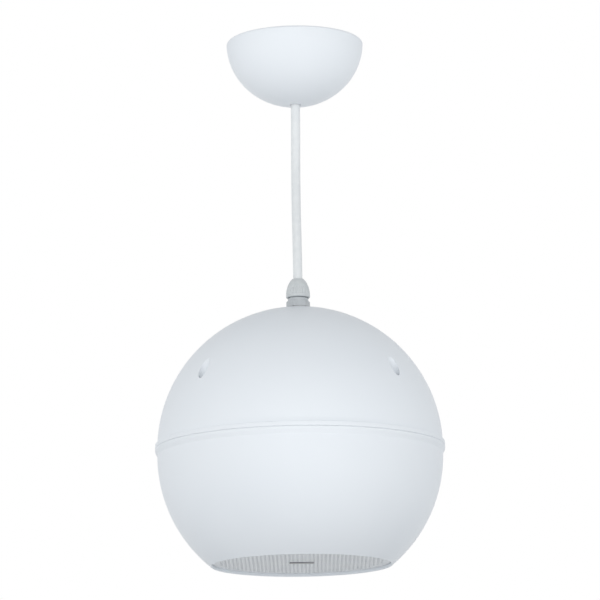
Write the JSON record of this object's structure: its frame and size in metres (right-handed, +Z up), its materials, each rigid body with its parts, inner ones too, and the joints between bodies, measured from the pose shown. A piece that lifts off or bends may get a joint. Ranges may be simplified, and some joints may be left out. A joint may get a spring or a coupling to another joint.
{
  "type": "pendant speaker",
  "caption": "White ball loudspeaker with a round grille underneath, hung on a short cable from a dome-shaped ceiling rose.",
  "frame": {"origin": "centre of the ceiling bracket's flat top face, in the plane of the ceiling and of the rose cup's rim", "axes": "+Z up, away from the hanging ball; X along the ceiling bracket's strap; front is -Y, the side the picture looks at"},
  "size_m": [0.2436, 0.2436, 0.4512],
  "materials": {
    "white_plastic": "satin",
    "grey_nylon": "satin",
    "natural_nylon": "satin",
    "black_rubber": "matte",
    "grey_rubber": "matte",
    "cable_jacket": "satin",
    "brown_insulation": "satin",
    "blue_insulation": "satin",
    "painted_grille": "satin",
    "black_painted_steel": "satin",
    "zinc_steel": "satin",
    "brass": "satin",
    "ferrite": "matte",
    "cone_paper": "matte",
    "cap_cloth": "matte",
    "copper_wire": "satin",
    "spider_cloth": "matte",
    "gasket_foam": "matte",
    "phenolic_board": "matte",
    "core_iron": "matte",
    "winding_tape": "satin"
  },
  "bodies": {
    "speaker": {"ceiling_bracket": "zinc_steel", "cord_clamp_body": "natural_nylon", "cord_clamp_plate": "natural_nylon", "cord_clamp_screw_1": "zinc_steel", "cord_clamp_screw_2": "zinc_steel", "clamp_rivet_1": "zinc_steel", "clamp_rivet_2": "zinc_steel", "terminal_block": "natural_nylon", "terminal_screw_1": "brass", "terminal_screw_2": "brass", "terminal_screw_3": "brass", "terminal_screw_4": "brass", "terminal_fixing_screw": "zinc_steel", "rose_core_a": "brown_insulation", "rose_core_b": "blue_insulation", "pendant_cable": "cable_jacket", "gland_nut": "grey_nylon", "gland_seal": "black_rubber", "gland_body": "grey_nylon", "gland_washer": "grey_rubber", "gland_locknut": "grey_nylon", "upper_shell": "white_plastic", "lower_shell": "white_plastic", "shell_screw_1": "zinc_steel", "shell_screw_2": "zinc_steel", "shell_screw_3": "zinc_steel", "shell_screw_4": "zinc_steel", "grille": "painted_grille", "driver_gasket": "gasket_foam", "driver_basket": "black_painted_steel", "driver_magnet": "ferrite", "driver_top_plate": "zinc_steel", "driver_back_plate": "zinc_steel", "driver_surround": "black_rubber", "driver_spider": "spider_cloth", "driver_tag_strip": "phenolic_board", "driver_screw_1": "zinc_steel", "driver_screw_2": "zinc_steel", "driver_screw_3": "zinc_steel", "driver_screw_4": "zinc_steel", "transformer_core": "core_iron", "transformer_bobbin": "natural_nylon", "transformer_winding": "winding_tape", "transformer_frame": "zinc_steel", "transformer_screw_1": "zinc_steel", "transformer_screw_2": "zinc_steel", "ball_core_a": "brown_insulation", "ball_core_b": "blue_insulation", "speaker_lead_a": "brown_insulation", "speaker_lead_b": "blue_insulation"},
    "rose_cover": {"rose_cup": "white_plastic", "rose_grommet": "grey_rubber"},
    "cone": {"driver_cone": "cone_paper", "driver_whizzer": "cone_paper", "driver_dust_cap": "cap_cloth", "driver_voice_coil": "copper_wire"}
  },
  "joints": [
    {"name": "rose_cup_slide", "type": "slide", "parent": "speaker", "child": "rose_cover", "axis": [0, 0, -1], "range_m": [0, 0.12]},
    {"name": "cone_travel", "type": "slide", "parent": "speaker", "child": "cone", "axis": [0, 0, 1], "range_m": [-0.0025, 0.0025], "stiffness_N_per_m": 1500, "deforming": ["driver_surround", "driver_spider"]}
  ]
}
